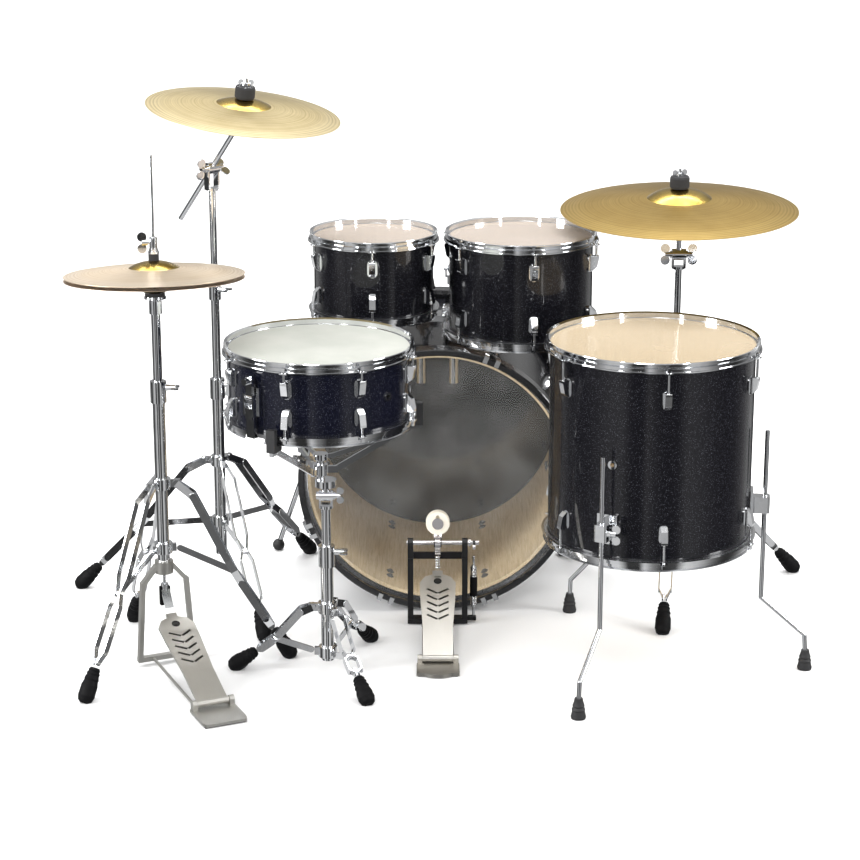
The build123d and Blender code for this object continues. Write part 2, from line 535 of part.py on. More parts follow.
def hihat_stand():
    pole = Pos(HIHAT_POLE.X, HIHAT_POLE.Y, 0)
    tripod("hihat_tripod", HIHAT_POLE, HIHAT_LEGS, 386, 250, 254)
    base_tube("hihat_tripod", HIHAT_POLE, 196, 578, 0)
    turn = pole * Rot(0, 0, HIHAT_PEDAL_ANGLE)
    hinge_x, hinge_z = HIHAT_HINGE
    hub = [disc(19, 196, 222, BASE_TUBE_R), block((-7, -62, 9), (7, 62, 19))]
    for s in (-1, 1):
        hub.append(bar((0, s * 16, 212), (0, s * 46, 176), 14, 9, (0, 1, 0)))
        hub.append(bar((0, s * 46, 180), (0, s * 57, 14), 14, 9, (0, 1, 0)))
        hub.append(between((4, s * 30, 14), (hinge_x - 4, s * 30, 8), 3.0))
    heel = [block((hinge_x - 8, -45, 3), (hinge_x + 62, 45, 9)), Pos(hinge_x + 62, 0, 6) * Cylinder(45, 6)]
    heel_plate = fuse(heel) - block((hinge_x + 80, -60, 0), (hinge_x + 160, 60, 20))
    for s in (-1, 1):
        heel_plate = heel_plate + Pos(hinge_x, s * 38, hinge_z) * Rot(90, 0, 0) * Cylinder(8, 10)
        heel_plate = heel_plate + block((hinge_x - 8, s * 38 - 5, 8), (hinge_x + 8, s * 38 + 5, hinge_z))
    heel_plate = heel_plate - Pos(hinge_x, 0, hinge_z) * Rot(90, 0, 0) * Cylinder(4.1, 120)
    hub_shape = fuse(hub) - disc(BASE_TUBE_R, 150, 240)
    node("hihat_pedal_frame", turn * (hub_shape + heel_plate))
    node("rubber_feet", turn * block((hinge_x, -42, 0), (hinge_x + 76, 42, 3)))

    slope = degrees(atan2(HIHAT_TOE[1] - hinge_z, hinge_x - HIHAT_TOE[0]))
    length = sqrt((HIHAT_TOE[1] - hinge_z) ** 2 + (hinge_x - HIHAT_TOE[0]) ** 2)
    board = Pos(0, 0, 3) * footboard(length, BOARD_STATIONS, 5)
    barrel = Rot(90, 0, 0) * Cylinder(6.5, 64) + Rot(90, 0, 0) * Cylinder(4.0, 86)
    stop = block((10, -30, -8), (18, 30, -1))
    node("hihat_footboard", turn * Pos(hinge_x, 0, hinge_z) * Rot(0, 0, 180) * Rot(0, -slope, 0)
         * fuse([board, barrel, stop]))

    rod = disc(3.0, 150, HIHAT_ROD_TOP) + disc(8, 150, 172)
    strap = bar((4, 0, 160), (HIHAT_TOE[0] - 6, 0, HIHAT_TOE[1] + 12), 18, 2.5, (1, 0, 1))
    node("hihat_pull_rod", turn * (rod + strap))

    low, size = HIHAT_EDGE_Z, HIHAT_CYMBAL
    bell = low - size[2] - size[3] - CYMBAL_T
    lower_place = cymbal_place(HIHAT_POLE + Vector(0, 0, bell), HIHAT_UP)
    upper = fuse([disc(MID_TUBE_R, 330, bell - 14), disc(13, bell - 42, bell - 14),
            disc(5.6, bell - 16, bell + 8)])
    seat = ring([(0, -14), (12, -16), (22, -12), (22, -7), (0, -7)])
    upper = (pole * upper + lower_place * seat) - pole * disc(3.6, 300, 900)
    upper = upper - pole * disc(MID_TUBE_R - 1.8, 300, bell - 44)
    node("hihat_upper_tube", upper, lower_place * disc(20, -7, 0, 6.6))
    node("hihat_bottom_cymbal", lower_place * Pos(0, 0, low - bell) * Rot(180, 0, 0) * cymbal(size))

    apex = low + HIHAT_GAP + size[2] + size[3] + CYMBAL_T
    upper_place = cymbal_place(HIHAT_POLE + Vector(0, 0, apex), HIHAT_UP)
    node("hihat_top_cymbal", upper_place * Pos(0, 0, -size[2] - size[3] - CYMBAL_T) * cymbal(size))
    body = [disc(5.5, apex - 17, apex + 46), disc(10, apex - 17.5, apex - 10),
            disc(11, apex + 14.5, apex + 19),
            disc(9, apex + 20, apex + 24), disc(8, apex + 25, apex + 46)]
    body.append(Pos(0, 0, apex + 36) * Rot(0, 0, 190) * Rot(0, 90, 0)
                * (disc(4, 0, 14) + Pos(0, 0, 11) * wing_nut(42)))
    clutch = fuse(body) - disc(3.3, 700, 1000)
    lower_felt = disc(11, -9, -CYMBAL_T - 0.6, 6.6)
    upper_felt = disc(10.5, 0.1, 13, 6.9)
    node("hihat_clutch", pole * clutch, upper_place * lower_felt, upper_place * upper_felt)


def snare_stand():
    tripod("snare_stand_tripod", SNARE_POLE, SNARE_LEGS, 140, 45, 192, 66)
    base_tube("snare_stand_tripod", SNARE_POLE, 27, 250, 0)
    pole = Pos(SNARE_POLE.X, SNARE_POLE.Y, 0)
    tube = fuse([disc(MID_TUBE_R, 120, SNARE_TILT_Z - 21), disc(14, SNARE_TILT_Z - 26, SNARE_TILT_Z - 20)])
    tube = tube - disc(MID_TUBE_R - 1.8, 100, SNARE_TILT_Z - 28)
    cheeks = [block((min(s * 9.4, s * 14), -8, -21), (max(s * 9.4, s * 14), 8, 0))
              + Rot(0, s * 90, 0) * disc(11, 9.4, 14) for s in (-1, 1)]
    fork = fuse(cheeks + [block((-14, -8, -24), (14, 8, -17))]) - Rot(0, 90, 0) * Cylinder(4.1, 60)
    node("snare_stand_tube", pole * (tube + Pos(0, 0, SNARE_TILT_Z) * fork))

    hub_z, rim_z = 52.0, SNARE_AT.Z - SNARE_DEPTH - RIM_HEIGHT - SNARE_TILT_Z
    aside = Pos(SNARE_AT.X - SNARE_POLE.X, 0, 0)
    body = [Rot(0, 90, 0) * Cylinder(11, 18), Rot(0, 90, 0) * Cylinder(4.0, 34), disc(8, 8, 30),
            disc(22, 20, 34),
            aside * disc(8, 24, hub_z + 34), aside * disc(15, hub_z - 8, hub_z + 14), aside * disc(15,
                    hub_z + 24, hub_z + 36),
            Rot(0, 90, 0) * Pos(0, 0, 14.4) * (disc(8, 0, 4) + Pos(0, 0, 3) * wing_nut(34)),
            Rot(0, -90, 0) * Pos(0, 0, 14.4) * disc(8, 0, 5)]
    tips = []
    for angle in SNARE_ARMS:
        turn = aside * Rot(0, 0, angle)
        reach = SNARE_RADIUS + 2
        body.append(turn * block((12, -4, hub_z - 4), (34, 4, hub_z + 10)))
        body.append(turn * bar((30, 0, hub_z + 3), (reach, 0, rim_z - 14), 12, 5, (0, 1, 0)))
        body.append(turn * bar((26, 0, hub_z + 32), (reach * 0.62, 0, rim_z - 44), 9, 4, (0, 1, 0)))
        body.append(turn * bar((12, 0, hub_z + 30), (30, 0, hub_z + 32), 9, 4, (0, 1, 0)))
        body.append(turn * block((reach - 8, -4, rim_z - 19), (reach + 22, 4, rim_z - 11)))
        tip = block((reach - 6, -9, rim_z - 11), (reach + 24, 9, rim_z)) \
            + block((SNARE_RADIUS + 14, -9, rim_z - 11), (SNARE_RADIUS + 26, 9, rim_z + 34))
        tips.append(Pos(0, 0, SNARE_TILT_Z) * turn * tip)
    node("snare_basket", pole * Pos(0, 0, SNARE_TILT_Z) * fuse(body), *[pole * t for t in tips])


def strainer():
    """Throw-off with its lever, tension knob and strap, the butt plate, and the wires under the head."""
    centre = Pos(SNARE_AT.X, SNARE_AT.Y, SNARE_AT.Z - SNARE_DEPTH / 2)
    turn = centre * Rot(0, 0, STRAINER_ANGLE)
    r, low = SNARE_RADIUS, -SNARE_DEPTH / 2
    base = fuse([block((r + 0.3, -18, -30), (r + 8, 18, 26)), block((r + 7, -14, -30), (r + 20, -10, 14)),
                 block((r + 7, 10, -30),
                         (r + 20, 14, 14))]) - Pos(r + 14, 0, 6) * Rot(90, 0, 0) * Cylinder(2.1, 60)
    slide = fuse([block((r + 9, -9.5, -36), (r + 19, 9.5, -14)), Pos(r + 14, 0, -16) * disc(2.6, 0, 10),
                  Pos(r + 14, 0, -6) * disc(2.6, -8, 1)])
    butt_turn = Rot(0, 0, 180)
    butt = fuse([block((r + 0.3, -20, -26), (r + 8, 20, -2)), block((r + 7, -17, -24), (r + 16, 17, -6))])
    wires = block((-r + 22, -20, low - FILM - 1.9), (r - 22, 20, low - FILM - 0.3))
    straps = [bar((r - 24, 0, low - FILM - 2.6), (r + 15.2, 0, low - FILM - 3.4), 20, 0.8, (0, 0, 1)),
              bar((r + 15, 0, low - FILM - 3.4), (r + 15, 0, -32), 20, 0.8, (1, 0, 0))]
    far_straps = [bar((r - 24, 0, low - FILM - 2.6), (r + 15.2, 0, low - FILM - 3.4), 20, 0.8, (0, 0, 1)),
                  bar((r + 15, 0, low - FILM - 3.4), (r + 15, 0, -23), 20, 0.8, (1, 0, 0))]
    node("strainer", turn * base, turn * slide, turn * butt_turn * butt, turn * wires)
    node("strainer", turn * fuse(straps), turn * butt_turn * fuse(far_straps))
    lever = fuse([Rot(90, 0, 0) * Cylinder(5.5, 18), Rot(90, 0, 0) * Cylinder(2.0, 27),
                  block((-3.5, -8, 3), (3.5, 8, 44)), Pos(4, 0, 34) * Rot(0, 90, 0) * disc(7, -4, 12)])
    node("strainer_lever", turn * Pos(r + 14, 0, 6) * lever)


def floor_tom_legs():
    centre = Pos(FLOOR_TOM_AT.X, FLOOR_TOM_AT.Y, 0)
    for i, angle in enumerate(FLOOR_LEGS):
        turn = centre * Rot(0, 0, angle)
        z, r = FLOOR_BRACKET_Z, FLOOR_LEG_R
        plate = block((FLOOR_RADIUS + 0.3, -21, z - 30), (FLOOR_RADIUS + 5, 21, z + 30))
        cast = block((FLOOR_RADIUS + 4, -13, z - 17), (r + 10, 13, z + 17))
        cast = fillet(cast.edges().filter_by(Axis.Z), 4)
        bolt = Pos(r, 12, z) * Rot(-90, 0, 0) * (disc(6.5, 0, 9) + Pos(0, 0, 8) * Rot(0, 0,
                90) * wing_nut(40))
        bracket = fuse([plate, cast, bolt]) - Pos(r, 0, z) * Cylinder(LEG_ROD_R + 0.3, 90)
        node("floor_tom_leg_brackets", turn * bracket)
        path = [(r, 0, 505), (r, 0, 152), (FLOOR_FOOT_R - 3, 0, 74), (FLOOR_FOOT_R, 0, 30)]
        rod = bent_rod(path, LEG_ROD_R)
        tip = Pos(FLOOR_FOOT_R, 0, 0) * ring([(0, 0), (14, 0), (15, 4), (12.5, 16), (13.5, 19),
                (11, 24), (12, 27),
                                             (9.5, 34), (8, 42), (LEG_ROD_R, 42), (LEG_ROD_R, 30), (0, 30)])
        node(f"floor_tom_leg_{i + 1}", turn * rod, turn * (tip - rod))


def bass_pedal():
    frame = [block((-34, -96, 0), (34, 24, 3)), block((-64, -84, 3), (64, -56, 13))]
    for s in (-1, 1):
        x = s * 58
        frame.append(block((x - 6, -82, 12), (x + 6, -58, 150)))
        frame.append(block((x - 6, -79, 150), (x + 6, -61, AXLE.Z)))
        frame.append(Pos(x, AXLE.Y, AXLE.Z) * Rot(0, 90, 0) * Cylinder(10, 12))
        frame.append(between((s * 30, -330, 7), (s * 30, -80, 8), 3.0))
    frame.append(block((-54, -44, 136), (54, -36, 150)))
    for s in (-1, 1):
        frame.append(block((min(s * 52, s * 60), -60, 136), (max(s * 52, s * 60), -36, 150)))
    frame.append(block((-9, -58, 3), (9, -26, 38)))
    frame.append(block((-16, -30, 19.5), (16, 12, 31)))
    heel = fuse([block((-43.5, -376, 2), (43.5, -322, 9)), Pos(0, -344, 5.5) * Cylinder(43.5, 7)])
    for s in (-1, 1):
        post = block((s * 37 - 5, -326, 4), (s * 37 + 5, -310, PEDAL_HINGE.Z))
        heel = heel + post + Pos(s * 37, PEDAL_HINGE.Y, PEDAL_HINGE.Z) * Rot(0, 90, 0) * Cylinder(8, 10)
    whole = fuse(frame + [heel])
    whole = whole - Pos(0, AXLE.Y, AXLE.Z) * Rot(0, 90, 0) * Cylinder(5.08, 200)
    whole = whole - Pos(0, PEDAL_HINGE.Y, PEDAL_HINGE.Z) * Rot(0, 90, 0) * Cylinder(4.1, 120)
    node("pedal_frame", whole)
    node("rubber_feet", block((-40, -374, 0), (40, -324, 2)))

    rise = PEDAL_TOE - PEDAL_HINGE
    slope = degrees(atan2(rise.Z, rise.Y))
    board = Pos(0, 0, 3) * footboard(rise.length, BOARD_STATIONS, 5)
    barrel = Rot(90, 0, 0) * Cylinder(6.5, 62) + Rot(90, 0, 0) * Cylinder(4.0, 84)
    clip = block((rise.length - 22, -7, 2), (rise.length - 6, 7, 9))
    place = Pos(*PEDAL_HINGE) * Rot(0, 0, 90) * Rot(0, -slope, 0)
    node("pedal_footboard", place * fuse([board, barrel, clip]))
    node("pedal_chain", block((-5, -105.5, 131.5), (5, -101.5, 160)))

    back = Rot(BEATER_BACK, 0, 0)
    axle = Rot(0, 90, 0) * (disc(5.0, -66, 88) + disc(9, 66, 70))
    cam = Rot(0, 90, 0) * Cylinder(CAM_R, 12)
    holder = back * block((-8, -9, -4), (8, 9, 36))
    rod = back * disc(4.0, 20, BEATER_LENGTH + 12)
    lever = block((74, -30, -5), (80, 0, 5)) + Pos(77, -30, 0) * Rot(0, 90, 0) * Cylinder(5, 6)
    metal = Pos(*AXLE) * (fuse([axle, cam, holder, rod]) + lever)
    head_centre = (Pos(*AXLE) * back * Pos(0, 0, BEATER_LENGTH)).position
    swivel = Pos(*head_centre) * Rot(BEATER_HEAD_TILT, 0, 0)
    felt = Rot(90, 0, 0) * Cylinder(25, 30)
    node("pedal_beater", metal)
    node("pedal_beater", swivel * fillet(felt.edges(), 4) - Pos(*AXLE) * back * disc(4.0, 0, 140))
    node("pedal_beater", swivel * Rot(90, 0, 0) * Pos(0, 0, 15) * disc(12, 0.0, 5))
    coil = fuse([Pos(77, -66, 0) * disc(3, 14, 40), Pos(77, -66, 0) * disc(8, 38, 128),
                 Pos(77, -66, 0) * disc(3, 126, 150), block((62, -72, 5), (83, -60, 15))])
    node("pedal_spring", coil - block((60, -100, 0), (64.05, -40, 30)))


# ---------------------------------------------------------------- the whole kit
bass_drum()
spur(-1)
spur(1)
tom_mount()
metal_drum("small_tom", SMALL_TOM_AT, SMALL_RADIUS, SMALL_DEPTH, 6, SMALL_PHASE, 44, 120)
metal_drum("large_tom", LARGE_TOM_AT, LARGE_RADIUS, LARGE_DEPTH, 6, LARGE_PHASE, 46, 68)
metal_drum("snare", SNARE_AT, SNARE_RADIUS, SNARE_DEPTH, 8, SNARE_PHASE, 41, -40,
           gates=(STRAINER_ANGLE, STRAINER_ANGLE + 180))
metal_drum("floor_tom", FLOOR_TOM_AT, FLOOR_RADIUS, FLOOR_DEPTH, 6, FLOOR_PHASE, 62, -116)
tom_post("small_tom_post", SMALL_BALL)
tom_post("large_tom_post", LARGE_BALL)
node("small_tom_lugs", tom_arm(SMALL_BALL, SMALL_TOM_AT, SMALL_RADIUS, SMALL_DEPTH))
node("large_tom_lugs", tom_arm(LARGE_BALL, LARGE_TOM_AT, LARGE_RADIUS, LARGE_DEPTH))
hihat_stand()
crash_stand()
ride_stand()
snare_stand()
strainer()
floor_tom_legs()
bass_pedal()

KIT = {name: Compound(children=list(solids)) for name, solids in SOLIDS.items()}
BOX = Compound(children=[Compound(list(s)) for s in SOLIDS.values()]).bounding_box()
SHIFT = Vector(-(BOX.min.X + BOX.max.X) / 2, -(BOX.min.Y + BOX.max.Y) / 2, -BOX.min.Z)

os.makedirs("parts", exist_ok=True)
for name, shape in KIT.items():
    export_step(Pos(*SHIFT) * shape, f"parts/{name}.step")
print(len(KIT), "nodes; set-up frame moved by", SHIFT)
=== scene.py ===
import json
import math

import bpy
from mathutils import Euler, Matrix, Vector


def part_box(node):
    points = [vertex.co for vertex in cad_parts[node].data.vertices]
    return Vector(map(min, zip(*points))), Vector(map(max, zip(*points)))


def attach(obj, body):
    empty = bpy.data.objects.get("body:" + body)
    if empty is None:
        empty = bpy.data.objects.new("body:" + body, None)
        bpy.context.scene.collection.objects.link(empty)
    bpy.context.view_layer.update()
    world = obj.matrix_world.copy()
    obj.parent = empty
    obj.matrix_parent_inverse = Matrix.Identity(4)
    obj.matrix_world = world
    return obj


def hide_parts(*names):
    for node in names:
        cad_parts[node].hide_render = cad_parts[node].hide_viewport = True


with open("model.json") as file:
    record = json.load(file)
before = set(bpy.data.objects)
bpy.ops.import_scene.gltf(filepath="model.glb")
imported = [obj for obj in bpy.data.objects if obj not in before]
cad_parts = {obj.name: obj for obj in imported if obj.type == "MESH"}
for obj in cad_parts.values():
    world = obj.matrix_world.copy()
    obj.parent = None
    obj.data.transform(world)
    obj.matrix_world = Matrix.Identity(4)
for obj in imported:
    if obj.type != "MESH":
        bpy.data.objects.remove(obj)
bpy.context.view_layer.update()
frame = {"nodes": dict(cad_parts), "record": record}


def middle(node):
    low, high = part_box(node)
    return (Vector(low) + Vector(high)) / 2


def low(node):
    return Vector(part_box(node)[0])


def high(node):
    return Vector(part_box(node)[1])


def joint_at(name):
    for joint in frame["record"]["behaviour"]["joints"]:
        if joint["name"] == name:
            return Vector(joint["pos_m"])
    raise KeyError(name)


# The drums are laid out round the bass drum's batter hoop; ORIGIN is the floor under that hoop.
AXLE_TO_HOOP = 0.070
ORIGIN = Vector((joint_at("beater_swing").x, joint_at("beater_swing").y + AXLE_TO_HOOP, 0))


def at(x, y, z=0.0):
    """A place given in millimetres from the floor under the batter hoop."""
    return ORIGIN + Vector((x, y, z)) / 1000


def facing(centre, up):
    """Turn and place that carries +Z to `up`, keeping +X level towards the right."""
    up = Vector(up).normalized()
    side = Vector((1, 0, -up.x / up.z)).normalized() if abs(up.z) > 0.2 else Vector((1, 0, 0))
    ahead = up.cross(side)
    turn = Matrix((side, ahead, up)).transposed().to_4x4()
    return Matrix.Translation(centre) @ turn


BASS_TILT = math.radians(4.2)
BASS_R = 0.2794
BASS_HOOP_WALL = 19
BASS_HOOP_DEPTH = 0.022
BASS_AXIS = Vector((0, math.cos(BASS_TILT), math.sin(BASS_TILT)))
BASS_BATTER_RIM = at(0, -21.9, (BASS_R * 1000 + BASS_HOOP_WALL) * math.cos(BASS_TILT) + 3.3)
BASS_EDGE = BASS_BATTER_RIM + BASS_AXIS * BASS_HOOP_DEPTH
BASS = Matrix.Translation(BASS_EDGE) @ Euler((BASS_TILT - math.pi / 2, 0, 0)).to_matrix().to_4x4()


def drum(node):
    """Batter edge's centre and shell radius of an upright drum."""
    bottom, top = low(node), high(node)
    return Vector((middle(node).x, middle(node).y, top.z)), (top.x - bottom.x) / 2


DRUMS = {name: drum(f"{name}_shell") for name in ("small_tom", "large_tom", "snare", "floor_tom")}
CRASH = facing(at(-403, 47, 1083), (0.125, -0.080, 1))
RIDE = facing(at(516, 150, 857), (-0.012, -0.052, 1))
HAT_UP = Vector((-0.014, 0.085, 1)).normalized()
HAT_X, HAT_Y = -558, -293
# The centre hole of each hi-hat cymbal.
HAT_TOP = facing(at(HAT_X, HAT_Y, 844.4), HAT_UP)
HAT_BOTTOM = facing(at(HAT_X, HAT_Y, 779.6), HAT_UP)
# Hinge and toe of each footboard.
BASS_BOARD = (at(0, -318, 17), at(0, -86, 122))
HAT_TURN = math.radians(-65.6)
HAT_HEADING = Vector((math.cos(HAT_TURN), math.sin(HAT_TURN), 0))
HAT_BOARD = (at(HAT_X, HAT_Y, 20) + HAT_HEADING * 0.283, at(HAT_X, HAT_Y, 116) + HAT_HEADING * 0.034)


def along_board(hinge, toe):
    """Frame at a footboard's hinge, +X towards its toe and +Z out of its top face."""
    ahead = (toe - hinge).normalized()
    side = Vector((0, 0, 1)).cross(ahead).normalized()
    return Matrix.Translation(hinge) @ Matrix((ahead, side, ahead.cross(side))).transposed().to_4x4()


# ------------------------------------------------------------------ finishes
class Value:
    """A shader socket; arithmetic on it adds Math nodes."""

    def __init__(self, tree, socket):
        self.tree, self.socket = tree, socket

    def math(self, operation, *others, swap=False):
        node = self.tree.nodes.new("ShaderNodeMath")
        node.operation = operation
        terms = [self, *others]
        if swap:
            terms.reverse()
        for plug, term in zip(node.inputs, terms):
            if isinstance(term, Value):
                self.tree.links.new(term.socket, plug)
            else:
                plug.default_value = term
        return Value(self.tree, node.outputs[0])

    def __add__(self, other):
        return self.math("ADD", other)

    def __sub__(self, other):
        return self.math("SUBTRACT", other)

    def __rsub__(self, other):
        return self.math("SUBTRACT", other, swap=True)

    def __mul__(self, other):
        return self.math("MULTIPLY", other)

    def __truediv__(self, other):
        return self.math("DIVIDE", other)

    def __gt__(self, other):
        return self.math("GREATER_THAN", other)

    def __lt__(self, other):
        return self.math("LESS_THAN", other)

    __radd__ = __add__
    __rmul__ = __mul__


def fill_ramp(ramp, stops):
    while len(ramp.elements) < len(stops):
        ramp.elements.new(0.5)
    for element, (place, colour) in zip(ramp.elements, stops):
        element.position = place
        element.color = (*colour, 1)


class Finish:
    """A material built round one Principled shader."""

    def __init__(self, name, **constants):
        self.material = bpy.data.materials.new(name)
        self.material.use_nodes = True
        self.tree = self.material.node_tree
        self.shader = self.tree.nodes["Principled BSDF"]
        for socket, value in constants.items():
            self.shader.inputs[socket.replace("_", " ")].default_value = value

    def add(self, kind, settings=None, output=0, **plugs):
        node = self.tree.nodes.new("ShaderNode" + kind)
        for key, value in (settings or {}).items():
            if key == "stops":
                fill_ramp(node.color_ramp, value)
            else:
                setattr(node, key, value)
        for key, value in plugs.items():
            numbered = key[0] == "n" and key[1:].isdigit()
            plug = node.inputs[int(key[1:])] if numbered else node.inputs[key.replace("_", " ")]
            if isinstance(value, Value):
                self.tree.links.new(value.socket, plug)
            else:
                plug.default_value = value
        return Value(self.tree, node.outputs[output])

    def place(self, matrix=None):
        """Object coordinates, measured from a matrix's place and turn when one is given."""
        here = self.add("TexCoord", output=3)
        if matrix is None:
            return here
        return self.add("Mapping", {"vector_type": "TEXTURE"}, Vector=here,
        Location=matrix.to_translation(),
                        Rotation=matrix.to_euler())

    def xyz(self, vector):
        node = self.tree.nodes.new("ShaderNodeSeparateXYZ")
        self.tree.links.new(vector.socket, node.inputs[0])
        return [Value(self.tree, out) for out in node.outputs]

    def radius(self, vector):
        x, y, _ = self.xyz(vector)
        return (x * x + y * y).math("SQRT")

    def stretch(self, vector, scale):
        return self.add("VectorMath", {"operation": "MULTIPLY"}, n0=vector, n1=scale)

    def noise(self, vector, scale, detail=3.0, roughness=0.5):
        return self.add("TexNoise", Vector=vector, Scale=scale, Detail=detail, Roughness=roughness)

    def cells(self, vector, scale, output=1, feature="F1"):
        return self.add("TexVoronoi", {"feature": feature}, output=output, Vector=vector, Scale=scale)

    def blend(self, factor, first, second):
        return self.add("Mix", {"data_type": "RGBA"}, output=2, n0=factor, n6=first, n7=second)

    def ramp(self, factor, stops):
        return self.add("ValToRGB", {"stops": stops}, n0=factor)

    def span(self, value, low_in, high_in, low_out, high_out):
        return self.add("MapRange", n0=value, n1=low_in, n2=high_in, n3=low_out, n4=high_out)

    def bump(self, height, strength=0.3, distance=0.001):
        return self.add("Bump", Height=height, Strength=strength, Distance=distance)

    def feed(self, **sockets):
        for name, value in sockets.items():
            self.tree.links.new(value.socket, self.shader.inputs[name.replace("_", " ")])
        return self


def rgba(r, g, b):
    return (r, g, b, 1.0)


CHROME_GREY = rgba(0.78, 0.79, 0.81)
FLESH_HOOP = rgba(0.62, 0.63, 0.65)
RUBBER_BLACK = rgba(0.012, 0.012, 0.013)


def chrome():
    f = Finish("polished chrome", Metallic=1.0)
    here = f.place()
    haze = f.noise(here, 38.0, 4.0, 0.6)
    wipe = f.noise(f.stretch(here, (60, 60, 7)), 6.0, 2.0)
    f.feed(Roughness=f.span(haze * 0.6 + wipe * 0.4, 0.35, 0.65, 0.045, 0.13),
           Base_Color=f.ramp(haze, [(0.3, (0.76, 0.77, 0.79)), (0.7, (0.86, 0.87, 0.88))]),
           Normal=f.bump(f.noise(here, 260.0), 0.03, 0.0004))
    return f.material


def glitter(name, matrix, radius, tint):
    """Black sparkle wrap outside a shell and pale wood inside it."""
    f = Finish(name)
    here = f.place(matrix)
    shade = f.xyz(f.cells(here, 1150.0))[0]
    spark = shade > 0.955
    faint = shade > 0.70
    deep = f.noise(here, 5.0, 2.0)
    wrap = f.blend(spark * 0.6, f.blend(faint * 0.3, rgba(*tint), rgba(*(c * 2.4 for c in tint))),
        rgba(0.07, 0.072, 0.085))
    grain = f.noise(f.stretch(here, (26, 26, 2.0)), 9.0, 6.0, 0.6)
    pores = f.noise(f.stretch(here, (240, 240, 9)), 5.0, 3.0)
    wood = f.ramp(grain * 0.75 + pores * 0.25, [(0.32, (0.52, 0.40, 0.24)), (0.5, (0.66, 0.53, 0.34)),
        (0.68, (0.76, 0.64, 0.44))])
    inside = f.radius(here) < radius - 0.0012
    f.feed(Base_Color=f.blend(inside, wrap, wood),
           Roughness=inside * 0.30 + f.span(deep, 0.3, 0.7, 0.17, 0.25),
           Coat_Weight=0.55 - inside * 0.35,
           Normal=f.bump(pores * inside, 0.10, 0.0002))
    f.shader.inputs["Coat Roughness"].default_value = 0.02
    f.shader.inputs["Specular IOR Level"].default_value = 0.12
    return f.material


def lacquer():
    f = Finish("black hoop lacquer", Base_Color=rgba(0.008, 0.008, 0.009), Coat_Weight=0.7,
        Coat_Roughness=0.05)
    here = f.place()
    f.feed(Roughness=f.span(f.noise(here, 30.0, 4.0), 0.3, 0.7, 0.16, 0.30),
           Normal=f.bump(f.noise(f.stretch(here, (40, 8, 40)), 12.0, 4.0), 0.05, 0.0004))
    return f.material


def clear_film(name, matrix, radius, alpha, colour):
    """See-through film inside `radius`, metal flesh hoop outside it."""
    f = Finish(name, Specular_IOR_Level=0.6)
    here = f.place(matrix)
    rim = f.radius(here) > radius
    cloud = f.noise(here, 9.0, 3.0)
    scuff = f.noise(f.stretch(here, (90, 14, 14)), 9.0, 3.0)
    f.feed(Base_Color=f.blend(rim, rgba(*colour), FLESH_HOOP),
           Metallic=rim * 1.0,
           Roughness=rim * 0.2 + f.span(scuff, 0.35, 0.7, 0.05, 0.16),
           Alpha=rim * (1 - alpha) + f.span(cloud, 0.3, 0.7, alpha - 0.03, alpha + 0.03))
    return f.material


def coated_film(name, matrix, radius):
    f = Finish(name)
    here = f.place(matrix)
    rim = f.radius(here) > radius
    speck = f.noise(here, 900.0, 2.0)
    cloud = f.noise(here, 11.0, 3.0)
    white = f.ramp(cloud * 0.7 + speck * 0.3, [(0.35, (0.335, 0.345, 0.31)), (0.65, (0.40, 0.405, 0.37))])
    f.feed(Base_Color=f.blend(rim, white, FLESH_HOOP), Metallic=rim * 1.0,
           Roughness=0.62 - rim * 0.4, Normal=f.bump(speck * (1 - rim), 0.15, 0.0003))
    return f.material


def front_film():
    f = Finish("black front head", Base_Color=rgba(0.010, 0.010, 0.012), Specular_IOR_Level=0.8)
    here = f.place()
    f.feed(Roughness=f.span(f.noise(here, 14.0, 4.0), 0.3, 0.7, 0.06, 0.12))
    return f.material


def cymbal_bronze(name, matrix, bell, edge, light, deep, groove, hammer):
    """Lathed and hammered bronze; grooves run round the bell's axis."""
    f = Finish(name, Metallic=1.0, Anisotropic=0.35)
    here = f.place(matrix)
    r = f.radius(here)
    flat = f.stretch(here, (1, 1, 0))
    ring_noise = f.add("TexNoise", {"noise_dimensions": "1D"}, W=r * 260.0, Scale=1.0, Detail=3.0)
    fine = (r * (math.tau / 0.0011)).math("SINE") * 0.5 + 0.5
    coarse = (r * (math.tau / 0.0072)).math("SINE") * 0.5 + 0.5
    outer = f.span(r, edge * 0.80, edge * 0.88, 0.0, 1.0)
    on_bell = f.span(r, bell - 0.001, bell + 0.001, 1.0, 0.0)
    dents = f.cells(flat, 46.0, output=0, feature="SMOOTH_F1")
    dented = f.span(dents, 0.0, 0.55, 0.0, 1.0)
    tone = ring_noise * 0.55 + coarse * outer * 0.35 + f.noise(flat, 16.0, 3.0) * 0.35
    colour = f.ramp(tone, [(0.30, deep), (0.72, light)])
    gold = f.ramp(f.noise(flat, 30.0, 2.0), [(0.3, (0.36, 0.24, 0.05)), (0.7, (0.52, 0.37, 0.09))])
    f.feed(Base_Color=f.blend(on_bell, colour, gold),
           Roughness=f.span(tone, 0.2, 0.9, 0.42, 0.30) - on_bell * 0.16,
           Normal=f.bump(fine * groove * (1 - on_bell) + coarse * outer * 1.2
                         + dented * hammer * (1 - on_bell), 0.22, 0.0004))
    return f.material


